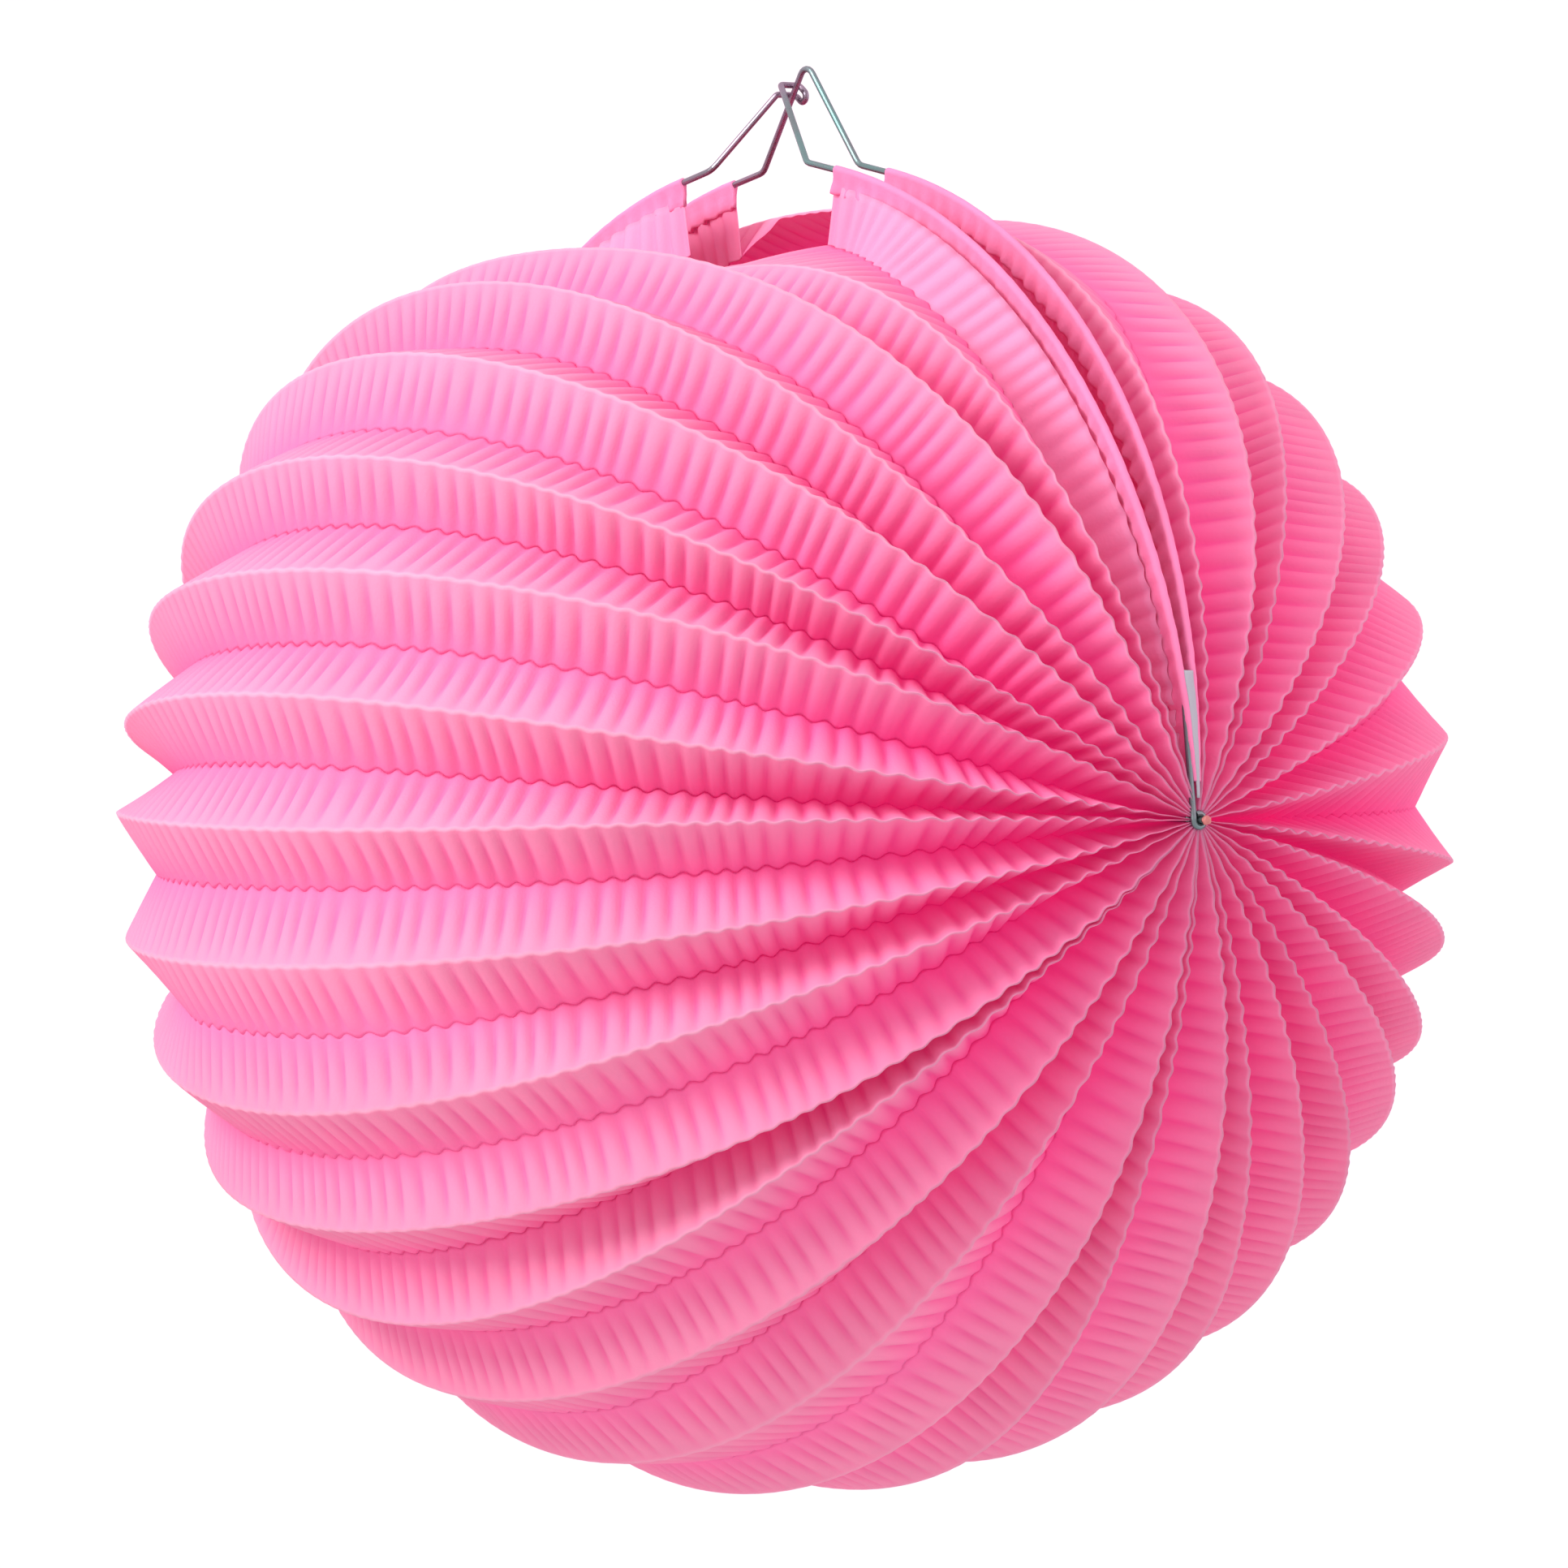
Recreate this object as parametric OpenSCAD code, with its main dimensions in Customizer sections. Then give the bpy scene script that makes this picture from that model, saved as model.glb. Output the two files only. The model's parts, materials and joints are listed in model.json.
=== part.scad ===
// Accordion paper lantern: a crimped paper bellows folded into meridian pleats between two poles,
// opened right round into a ball and closed by two hemmed wire bows, whose peaks hook together.
// +X runs from pole to pole, -Y is the side that opens first, +Z is up. The origin is the hanger
// point, under the rounded top of the eye bow's peak.
// Angles "phi" are counted about the pole axis, from straight up and over to the -Y side.

/* [Ball] */
// Diameter over the pleat ridges
ball_d = 250; // [180:5:320]
// Number of free pleats between the two bows
pleats = 31; // [23:2:35]
// Width of one pleat leaf, from ridge to valley
leaf_w = 13; // [9:0.5:18]
// Thickness of the crimped paper
paper_t = 0.6; // [0.4:0.1:1]
// Distance of the pleat tips from the pole axis
tip_r = 3; // [2.6:0.1:5]
// Gap left between two neighbouring pleats
seam_gap = 0.1; // [0.06:0.02:0.2]

/* [Mouth] */
// Length of the mouth cut through the two end leaves
mouth_l = 50; // [34:2:64]
// Share of the first pleat's inner leaf that is cut away at the middle of the mouth
mouth_bite = 0.8; // [0.4:0.05:0.9]

/* [Wire bows] */
// Diameter of the bow wire
wire_d = 1.2; // [0.8:0.1:1.4]
// Angle of each bow from the vertical
bow_tilt = 2.8; // [2.6:0.1:4]
// Distance between the two foot bends of a peak
peak_w = 30; // [24:1:32]
// Height of the eye bow's peak over its foot bends, to the corner of its top bend
eye_h = 20.2; // [16:0.2:26]
// Lean of the eye bow's peak towards the middle
eye_lean = 6; // [0:0.5:10]
// Radius of the bend at the top of the eye bow
top_bend = 2.2; // [1.6:0.1:2.6]
// Radius of the foot bends
foot_bend = 3; // [2:0.25:4]
// Where the hook sits along the leg of the eye bow, from its foot bend to its top
hook_seat = 0.7; // [0.55:0.01:0.72]
// Width of the hook between the middles of its two wires
hook_w = 2.2; // [2:0.1:2.6]
// Clearance between the hook and the leg that it holds
hook_play = 0.3; // [0.15:0.05:0.4]
// Radius of the bend that turns the hook down
hook_bend = 0.8; // [0.7:0.05:0.9]

/* [Hems] */
// Width of the paper turned in and glued over the wire
hem_w = 4.6; // [3:0.2:6]
// Thickness of the paper around the wire
hem_t = 0.25; // [0.2:0.05:0.3]
// Clearance of the wire in its hem
hem_play = 0.05; // [0.04:0.01:0.08]
// Distance of the hem's lower end from the pole axis
hem_start = 22; // [22:1:26]

/* [Poles] */
// Diameter of the pin through the pleat tips
pin_d = 1; // [0.8:0.1:1.4]
// Radial clearance of the pin in the bow eyes
pin_play = 0.08; // [0.03:0.01:0.1]
// Diameter of the pin's flat inner head
pin_head_d = 3; // [2.4:0.2:4]
// Diameter of the glue dot on the pin's outer end
dot_d = 2.8; // [2:0.2:4]
// Distance from the pole axis to the top of the reinforcement strip
strip_top = 27; // [20:1:32]
// Half angle that the reinforcement strip fills between the end leaves
strip_a = 2.2; // [1.6:0.1:2.4]

/* [Hidden] */
$fn = 32;

function pleat_name(i) = str("pleat_", i < 10 ? "0" : "", i);

pink = [0.97, 0.55, 0.73];
hem_pink = [0.98, 0.62, 0.78];
steel = [0.55, 0.6, 0.62];
ball_r = ball_d / 2;
wire_r = wire_d / 2;
pitch = (360 - 2 * bow_tilt) / (pleats + 1);
front = bow_tilt;
rear = 360 - bow_tilt;
mouth_half = mouth_l / 2;
hem_r = wire_r + hem_play + hem_t;
hem_flat_t = 2 * (hem_t + 0.1);
bow_r = ball_r - hem_r;
leaf_top_r = bow_r - hem_w - 0.1;
leaf_edge_t = 0.3;
strip_t = 0.3;
strip_low = 8;
strip_r = leaf_top_r - 1.5;
strip_half = strip_top * tan(strip_a);
neck_rho = 22;
eye_r = pin_d / 2 + pin_play + wire_r;
eye_shift = 0.7 * wire_d;
pin_out = bow_r + eye_shift + wire_r + 0.6;
pin_in = ball_r - leaf_w - 5;
pin_head_t = 0.5;
dot_h = dot_d / 2;
arc_steps = 24;
pleat_steps = 30;
leaf_steps = 16;
eye_turn = 300;
bend_step = 18;
wire_sides = 12;
hook_tip = 0.49 * hook_w;

// --- places -------------------------------------------------------------------------------------

function unit(v) = v / norm(v);
// Point of the bow plane at angle phi: x along the pole axis, rho away from it
function in_bow(phi, x, rho) = [x, -rho * sin(phi), rho * cos(phi)];
// Point on a sphere of radius r: theta from the +X pole, phi about the pole axis
function on_ball(r, theta, phi) = in_bow(phi, r * cos(theta), r * sin(theta));

hem_end_a = asin(mouth_half / bow_r);
foot_x = peak_w / 2;
foot_rho = bow_r * cos(hem_end_a) + (mouth_half - foot_x) * tan(hem_end_a);

eye_foot = in_bow(-bow_tilt, -foot_x, foot_rho);
eye_up = in_bow(eye_lean - bow_tilt, 0, eye_h);
eye_top = in_bow(-bow_tilt, 0, foot_rho) + eye_up;
leg_dir = unit(eye_top - eye_foot);
leg_out = unit([-leg_dir[2], 0, leg_dir[0]]);
top_drop = top_bend * (1 / sin(atan(foot_x / eye_h)) - 1);
hanger = eye_top - unit(eye_up) * top_drop - [0, 0, wire_r];

hook_mid = eye_foot + hook_seat * (eye_top - eye_foot) + (wire_d + hook_play) * leg_out;
hook_back = [0, wire_d + hook_play + 0.4, 0];
hook_front = [0, -wire_d - hook_play - 1, 0];
hook_down = -2 * (wire_d + hook_play) * leg_out;
hook_side = leg_dir * hook_w / 2;

// --- wire ---------------------------------------------------------------------------------------

// Places children with their x and z axes along the two given directions
module aim(place, x_dir, z_dir) {
    x = unit(x_dir);
    z = unit(z_dir);
    y = cross(z, x);
    multmatrix([[x[0], y[0], z[0], place[0]],
                [x[1], y[1], z[1], place[1]],
                [x[2], y[2], z[2], place[2]],
                [0, 0, 0, 1]])
        children();
}

// Closed skin over a row of rings, each of n points, in triangles
function skin(rows, n) = concat(
    [for (j = [0:rows - 2], k = [0:n - 1], t = [0, 1])
        let (a = j * n + k, b = j * n + (k + 1) % n, c = a + n, d = b + n)
        t == 0 ? [a, b, d] : [a, d, c]],
    [for (k = [1:n - 2]) [0, k + 1, k]],
    [for (k = [1:n - 2]) let (z = (rows - 1) * n) [z, z + k, z + k + 1]]);

// Points of an arc round middle, starting at middle + first
function arc_points(middle, first, axis, angle, steps) =
    [for (k = [0:steps]) let (a = angle * k / steps)
        middle + first * cos(a) + cross(axis, first) * sin(a)];

// Points of the round bend of radius r where the wire turns at b, between a and c
function bend_points(a, b, c, r) =
    let (u = unit(a - b), v = unit(c - b), between = acos(u * v), gap = r / tan(between / 2),
         middle = b + unit(u + v) * r / sin(between / 2), first = b + u * gap - middle)
    arc_points(middle, first, unit(cross(first, b + v * gap - middle)), 180 - between,
               max(2, ceil((180 - between) / bend_step)));

// Points of a run of corners, each rounded with its own radius; the ends are left out
function bent_points(points, radii) =
    [for (i = [1:len(points) - 2]) each bend_points(points[i - 1], points[i], points[i + 1], radii[i - 1])];

function back_to_front(list) = [for (i = [len(list) - 1:-1:0]) list[i]];
function mirrored(list) = [for (p = list) [-p[0], p[1], p[2]]];

// One side of a bow: open eye round the pole axis, neck, and arc up to the mouth
function side_points(phi, shift) =
    let (pole_a = asin(neck_rho / bow_r), arc_foot = on_ball(bow_r, pole_a, phi),
         up = in_bow(phi, 0, 1), across = in_bow(phi + 90, 0, 1), middle = [bow_r + shift, 0, 0],
         touch_a = acos(eye_r / neck_rho), touch = eye_r * (up * cos(touch_a) + across * sin(touch_a)))
    concat(back_to_front(arc_points(middle, touch, [1, 0, 0], eye_turn, ceil(eye_turn / bend_step))),
           arc_points([0, 0, 0], arc_foot, unit(cross([1, 0, 0], up)),
                      90 - hem_end_a - pole_a, arc_steps));

// Round wire along the points, as rings square to it
module wire(points) {
    last = len(points) - 1;
    along = [for (i = [0:last]) unit(points[min(i + 1, last)] - points[max(i - 1, 0)])];
    aside = [for (i = 0, n = unit(cross(along[0], [0.3, 0.5, 0.8])); i <= last;
                  i = i + 1, n = i > last ? n : unit(n - along[i] * (n * along[i]))) n];
    rings = [for (i = [0:last], k = [0:wire_sides - 1]) let (a = 360 * k / wire_sides)
        points[i] + wire_r * (aside[i] * cos(a) - cross(along[i], aside[i]) * sin(a))];
    polyhedron(rings, skin(last + 1, wire_sides), convexity = 6);
}

// A whole bow: the two sides joined over the peak
module bow(phi, shift, corners, radii) {
    end = [for (side = [-1, 1]) in_bow(phi, side * mouth_half, bow_r * cos(hem_end_a))];
    color(steel) translate(-hanger)
        wire(concat(mirrored(side_points(phi, shift)),
                    bent_points(concat([end[0]], corners, [end[1]]), radii),
                    back_to_front(side_points(phi, shift))));
}

module eye_bow_wire() {
    bow(rear, -eye_shift, [eye_foot, eye_top, [-eye_foot[0], eye_foot[1], eye_foot[2]]],
        [foot_bend, top_bend, foot_bend]);
}

module hook_bow_wire() {
    bow(front, eye_shift,
        [in_bow(front, -foot_x, foot_rho),
         hook_mid - hook_side + hook_front, hook_mid - hook_side + hook_back,
         hook_mid - hook_side + hook_back + hook_down, hook_mid + hook_side + hook_back + hook_down,
         hook_mid + hook_side + hook_back, hook_mid + hook_side + hook_front,
         in_bow(front, foot_x, foot_rho)],
        [foot_bend, hook_bend, hook_bend, hook_tip, hook_tip, hook_bend, hook_bend, foot_bend]);
}

// --- paper --------------------------------------------------------------------------------------

// Hem: paper round the wire and glued flat to itself below, from the pole up to the mouth
module hem(phi, side) {
    low_a = asin(hem_start / bow_r);
    color(hem_pink) translate(-hanger) mirror([side < 0 ? 1 : 0, 0, 0])
        aim([0, 0, 0], on_ball(1, low_a, phi), cross([1, 0, 0], in_bow(phi, 0, 1)))
            rotate_extrude(angle = 90 - hem_end_a - low_a)
                difference() {
                    union() {
                        translate([bow_r, 0]) circle(r = hem_r);
                        translate([bow_r - hem_w, -hem_flat_t / 2]) square([hem_w, hem_flat_t]);
                    }
                    translate([bow_r, 0]) circle(r = wire_r + hem_play);
                }
}

// Depth of the valley under the ridge where the leaves stand rho away from the pole axis
function fold_depth(rho) = sqrt(pow(leaf_w, 2) - pow(rho * tan(pitch / 2), 2));
// Radial thickness of a leaf there, which grows as the leaves close up towards the poles
function wall_at(rho) = min(paper_t * leaf_w / (rho * tan(pitch / 2)), 0.85 * fold_depth(rho));
function half_angle(rho) = pitch / 2 - asin(seam_gap / 2 / rho);
// Share of a leaf left at angle theta where the mouth cuts it
function kept(theta, bite) =
    let (x = abs(ball_r * cos(theta)), reach = mouth_half + 4)
    x > reach ? 1 : 1 - bite * pow(cos(90 * x / reach), 0.5);

tip_a = asin(tip_r / ball_r);
// Room beside the pole axis for the necks of both bows, which leave their eyes on the -Y side
neck_room = eye_r + wire_r + paper_t / 2 + 0.1;
// Distance of a pleat's tips from the pole axis: the first pleats stand clear of the necks
function tip_at(phi) = phi < 90 ? max(tip_r, neck_room / sin(phi)) : tip_r;
function arc_at(j, steps, from, to) = from + (to - from) * j / steps;

// One ring of six points across a pleat: two outer leaf edges, ridge, and the same inside
function pleat_ring(theta, phi, bite_front, bite_rear) =
    let (rho = ball_r * sin(theta), depth = fold_depth(rho), wall = wall_at(rho), half = half_angle(rho),
         low = kept(theta, bite_front), high = kept(theta, bite_rear))
    [on_ball(ball_r, theta, phi),
     on_ball(ball_r - depth * high, theta, phi + half * high),
     on_ball(ball_r - depth * high - paper_t, theta, phi + half * high),
     on_ball(ball_r - wall, theta, phi),
     on_ball(ball_r - depth * low - paper_t, theta, phi - half * low),
     on_ball(ball_r - depth * low, theta, phi - half * low)];

module pleat(i) {
    phi = bow_tilt + pitch * i;
    bite_front = i == 1 ? mouth_bite : 0;
    bite_rear = i == pleats ? mouth_bite : 0;
    end_a = asin(tip_at(phi) / ball_r);
    rings = [for (j = [0:pleat_steps])
        pleat_ring(arc_at(j, pleat_steps, end_a, 180 - end_a), phi, bite_front, bite_rear)];
    color(pink) translate(-hanger)
        polyhedron([for (r = rings) each r], skin(len(rings), 6), convexity = 6);
}

// End leaf: the half pleat between a hem and the first valley; turn is 1 at the front, -1 at the rear
function leaf_ring(theta, phi, turn) =
    let (rho = ball_r * sin(theta), edge = min(leaf_edge_t, 0.7 * rho * sin(bow_tilt)),
         a = asin(edge / rho), valley = phi + turn * half_angle(rho), deep = ball_r - fold_depth(rho),
         top = min(leaf_top_r, deep + 5))
    [on_ball(top, theta, phi + turn * a), on_ball(deep, theta, valley),
     on_ball(deep - paper_t, theta, valley), on_ball(top - paper_t, theta, phi - turn * a)];

module end_leaf(phi, side, turn) {
    last_a = acos(mouth_half / ball_r);
    rings = [for (j = [0:leaf_steps]) leaf_ring(arc_at(j, leaf_steps, tip_a, last_a), phi, turn)];
    faces = skin(len(rings), 4);
    color(pink) translate(-hanger) mirror([side < 0 ? 1 : 0, 0, 0])
        polyhedron([for (r = rings) each r],
                   turn < 0 ? [for (f = faces) [f[2], f[1], f[0]]] : faces, convexity = 4);
}

// --- poles --------------------------------------------------------------------------------------

module at_pole(side) {
    translate(-hanger) mirror([side < 0 ? 1 : 0, 0, 0]) rotate([0, 90, 0]) children();
}

module pole_pin(side) {
    color(steel) at_pole(side) {
        translate([0, 0, pin_in]) cylinder(d = pin_d, h = pin_out - pin_in);
        translate([0, 0, pin_in]) cylinder(d = pin_head_d, h = pin_head_t);
    }
}

module pole_glue_dot(side) {
    color([0.95, 0.5, 0.4]) at_pole(side) translate([0, 0, pin_out])
        intersection() {
            sphere(d = dot_d);
            translate([0, 0, dot_h / 2]) cube([2 * dot_d, 2 * dot_d, dot_h], center = true);
        }
}

// Blank paper strip that closes the gap between the two end leaves next to the pole
module reinforcement_strip(side) {
    low_a = asin(strip_low / strip_r);
    high_a = asin(strip_top / strip_r);
    color([0.85, 0.84, 0.88]) translate(-hanger) mirror([side < 0 ? 1 : 0, 0, 0])
        intersection() {
            aim([0, 0, 0], on_ball(1, low_a, 0), [0, -1, 0])
                rotate_extrude(angle = high_a - low_a)
                    translate([strip_r - strip_t, -strip_top]) square([strip_t, 2 * strip_top]);
            rotate([90, 0, 90]) linear_extrude(height = ball_r)
                polygon([[0, 0], [strip_half, strip_top], [-strip_half, strip_top]]);
        }
}

eye_bow_wire();
hook_bow_wire();
hem(rear, -1);  // rear_hem_left
hem(rear, 1);  // rear_hem_right
hem(front, -1);  // front_hem_left
hem(front, 1);  // front_hem_right
end_leaf(rear, -1, -1);  // rear_end_leaf_left
end_leaf(rear, 1, -1);  // rear_end_leaf_right
end_leaf(front, -1, 1);  // front_end_leaf_left
end_leaf(front, 1, 1);  // front_end_leaf_right
pole_pin(-1);  // pole_pin_left
pole_pin(1);  // pole_pin_right
pole_glue_dot(-1);  // pole_glue_dot_left
pole_glue_dot(1);  // pole_glue_dot_right
reinforcement_strip(-1);  // reinforcement_strip_left
reinforcement_strip(1);  // reinforcement_strip_right
for (i = [1:pleats])
    pleat(i);
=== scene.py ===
"""Accordion paper lantern: a bellows of crimped pink paper on two hooked wire bows.

Every length is in metres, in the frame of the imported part: the origin is the hanger point, +X runs
from pole to pole and +Z is up. Angles about the pole axis are counted from straight up towards -Y.
"""

import json
import logging
import math
import random
from dataclasses import dataclass
from enum import Enum
from typing import Dict, List, Sequence, Tuple, Union

import bmesh
import bpy
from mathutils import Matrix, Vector, noise


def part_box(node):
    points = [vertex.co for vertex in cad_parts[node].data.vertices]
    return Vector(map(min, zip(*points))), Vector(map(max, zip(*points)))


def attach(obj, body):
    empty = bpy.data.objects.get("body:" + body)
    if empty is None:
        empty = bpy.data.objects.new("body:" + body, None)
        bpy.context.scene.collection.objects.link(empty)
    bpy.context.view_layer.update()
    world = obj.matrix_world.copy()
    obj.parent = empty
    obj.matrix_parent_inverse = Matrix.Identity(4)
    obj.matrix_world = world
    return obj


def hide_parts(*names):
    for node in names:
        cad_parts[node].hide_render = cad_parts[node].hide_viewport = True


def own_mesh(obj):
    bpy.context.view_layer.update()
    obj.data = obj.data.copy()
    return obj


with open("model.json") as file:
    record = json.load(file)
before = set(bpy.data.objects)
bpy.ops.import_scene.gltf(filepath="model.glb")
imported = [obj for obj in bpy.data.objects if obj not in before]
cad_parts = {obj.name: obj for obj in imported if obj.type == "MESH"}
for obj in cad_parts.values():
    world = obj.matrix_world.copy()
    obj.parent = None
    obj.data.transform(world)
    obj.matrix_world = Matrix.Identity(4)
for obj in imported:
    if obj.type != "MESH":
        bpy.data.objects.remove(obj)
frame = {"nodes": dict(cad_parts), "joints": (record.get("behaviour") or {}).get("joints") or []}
LOG = logging.getLogger("lantern")
MM = 0.001
Triple = Tuple[float, float, float]
Colour = Union[Triple, bpy.types.NodeSocket]


class Pole(Enum):
    """The two ends of the pole axis, by their sign on X."""

    LEFT = -1
    RIGHT = 1


# --- shader groups ------------------------------------------------------------------------------


def new_material(name: str) -> bpy.types.Material:
    """Makes a material with its shader and output nodes."""
    material = bpy.data.materials.new(name)
    material.use_nodes = True
    return material


def mixed(tree: bpy.types.NodeTree, low: Colour, high: Colour,
          share: bpy.types.NodeSocket) -> bpy.types.NodeSocket:
    """Adds a node that mixes two colours.

    Args:
        tree: The material's tree.
        low: Colour where the share is 0.
        high: Colour where the share is 1.
        share: The mask.

    Returns:
        The mixed colour.
    """
    node = tree.nodes.new("ShaderNodeMix")
    node.data_type = "RGBA"
    for label, colour in (("A", low), ("B", high)):
        if isinstance(colour, bpy.types.NodeSocket):
            tree.links.new(colour, node.inputs[label])
        else:
            node.inputs[label].default_value = (*colour, 1)
    tree.links.new(share, node.inputs["Factor"])
    return node.outputs["Result"]


def mapped(tree: bpy.types.NodeTree, value: bpy.types.NodeSocket, target: Tuple[float, float],
           source: Tuple[float, float] = (0.0, 1.0)) -> bpy.types.NodeSocket:
    """Adds a node that maps one range of numbers to another.

    Args:
        tree: The tree.
        value: The number.
        target: Range that comes out.
        source: Range that goes in.

    Returns:
        The mapped number.
    """
    node = tree.nodes.new("ShaderNodeMapRange")
    node.inputs["From Min"].default_value, node.inputs["From Max"].default_value = source
    node.inputs["To Min"].default_value, node.inputs["To Max"].default_value = target
    tree.links.new(value, node.inputs["Value"])
    return node.outputs[0]


def new_group(name: str, inputs: Dict[str, Tuple[str, float]],
              outputs: Dict[str, str]) -> bpy.types.NodeTree:
    """Makes an empty shader node group.

    Args:
        name: Name of the group.
        inputs: Socket kind and starting value for each input name.
        outputs: Socket kind for each output name.

    Returns:
        The group, with its Group Input and Group Output nodes placed.
    """
    group = bpy.data.node_groups.new(name, "ShaderNodeTree")
    for label, (kind, value) in inputs.items():
        socket = group.interface.new_socket(name=label, in_out="INPUT", socket_type=kind)
        socket.default_value = value
    for label, kind in outputs.items():
        group.interface.new_socket(name=label, in_out="OUTPUT", socket_type=kind)
    group.nodes.new("NodeGroupInput").name = "in"
    group.nodes.new("NodeGroupOutput").name = "out"
    return group


def paper_fibre_group() -> bpy.types.NodeTree:
    """Builds the group that gives paper its mottled tone and fibrous bump.

    Returns:
        A group with the outputs Tone, Height and Rough.
    """
    group = new_group(
        "paper fibre",
        {"Scale": ("NodeSocketFloat", 1.0), "Mottle": ("NodeSocketFloat", 0.06)},
        {"Tone": "NodeSocketFloat", "Height": "NodeSocketFloat", "Rough": "NodeSocketFloat"},
    )
    nodes, links = group.nodes, group.links
    place = nodes.new("ShaderNodeTexCoord")
    cloud, fibre = nodes.new("ShaderNodeTexNoise"), nodes.new("ShaderNodeTexNoise")
    for node, per_metre, detail in ((cloud, 70.0, 3.0), (fibre, 1700.0, 4.0)):
        size = nodes.new("ShaderNodeMath")
        size.operation = "MULTIPLY"
        size.inputs[1].default_value = per_metre
        links.new(nodes["in"].outputs["Scale"], size.inputs[0])
        links.new(size.outputs[0], node.inputs["Scale"])
        links.new(place.outputs["Object"], node.inputs["Vector"])
        node.inputs["Detail"].default_value = detail
    centred = nodes.new("ShaderNodeMath")
    centred.operation = "SUBTRACT"
    centred.inputs[1].default_value = 0.5
    links.new(cloud.outputs["Fac"], centred.inputs[0])
    tone = nodes.new("ShaderNodeMath")
    tone.operation = "MULTIPLY_ADD"
    tone.inputs[2].default_value = 1.0
    links.new(centred.outputs[0], tone.inputs[0])
    links.new(nodes["in"].outputs["Mottle"], tone.inputs[1])
    links.new(tone.outputs[0], nodes["out"].inputs["Tone"])
    links.new(fibre.outputs["Fac"], nodes["out"].inputs["Height"])
    links.new(mapped(group, fibre.outputs["Fac"], (0.62, 0.86)), nodes["out"].inputs["Rough"])
    return group


@dataclass(frozen=True)
class Paper:
    """A matt paper finish.

    Attributes:
        name: Name of the material.
        tint: Base colour.
        ridge_highlight_tint: Painted highlight: paler colour along the ridge folds, where they catch
            the light.
        deep_tint: Colour down between the leaves, where pink light is thrown from one to the other;
            it is also painted as shade into the crimps' grooves.
        mottle: How much the tone wanders.
        bump: Height of the fibre bump in metres.
        glow: Share of the light that comes through from behind.
        ember: Strength of the pink light that the leaves throw to each other near the poles.
        ember_tint: Colour of that light.
    """

    name: str
    tint: Triple
    ridge_highlight_tint: Triple
    deep_tint: Triple
    mottle: float = 0.1
    bump: float = 0.00012
    glow: float = 0.3
    ember: float = 0.0
    ember_tint: Triple = (1.0, 0.05, 0.5)

    def make(self, fibre: bpy.types.NodeTree) -> bpy.types.Material:
        """Builds the material.

        Args:
            fibre: The shared paper fibre group.

        Returns:
            The finished material.
        """
        material = new_material(self.name)
        tree = material.node_tree
        nodes, links = tree.nodes, tree.links
        shader, end = nodes["Principled BSDF"], nodes["Material Output"]
        grain = nodes.new("ShaderNodeGroup")
        grain.node_tree = fibre
        grain.inputs["Mottle"].default_value = self.mottle
        masks = {}
        for mask in ("fold_depth", "crimp_groove", "fold_wear"):
            fold = nodes.new("ShaderNodeAttribute")
            fold.attribute_name = mask
            masks[mask] = fold.outputs["Fac"]
        colour = mixed(tree, self.tint, self.deep_tint, masks["fold_depth"])
        # Painted shade: the crimps' grooves are mixed towards the deep colour.
        colour = mixed(tree, colour, self.deep_tint, masks["crimp_groove"])
        # Painted highlight: paler along the ridge folds.
        colour = mixed(tree, colour, self.ridge_highlight_tint, masks["fold_wear"])
        toned = nodes.new("ShaderNodeVectorMath")
        toned.operation = "SCALE"
        links.new(colour, toned.inputs[0])
        links.new(grain.outputs["Tone"], toned.inputs["Scale"])
        links.new(toned.outputs[0], shader.inputs["Base Color"])
        links.new(grain.outputs["Rough"], shader.inputs["Roughness"])
        shader.inputs["Specular IOR Level"].default_value = 0.15
        warmth = mixed(tree, (0.0, 0.0, 0.0), self.ember_tint, masks["fold_depth"])
        links.new(warmth, shader.inputs["Emission Color"])
        shader.inputs["Emission Strength"].default_value = self.ember
        relief = nodes.new("ShaderNodeBump")
        relief.inputs["Distance"].default_value = self.bump
        relief.inputs["Strength"].default_value = 0.6
        links.new(grain.outputs["Height"], relief.inputs["Height"])
        links.new(relief.outputs[0], shader.inputs["Normal"])
        if self.glow > 0:
            through, both = nodes.new("ShaderNodeBsdfTranslucent"), nodes.new("ShaderNodeMixShader")
            links.new(toned.outputs[0], through.inputs["Color"])
            links.new(relief.outputs[0], through.inputs["Normal"])
            both.inputs["Fac"].default_value = self.glow
            links.new(shader.outputs[0], both.inputs[1])
            links.new(through.outputs[0], both.inputs[2])
            links.new(both.outputs[0], end.inputs["Surface"])
        return material


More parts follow.
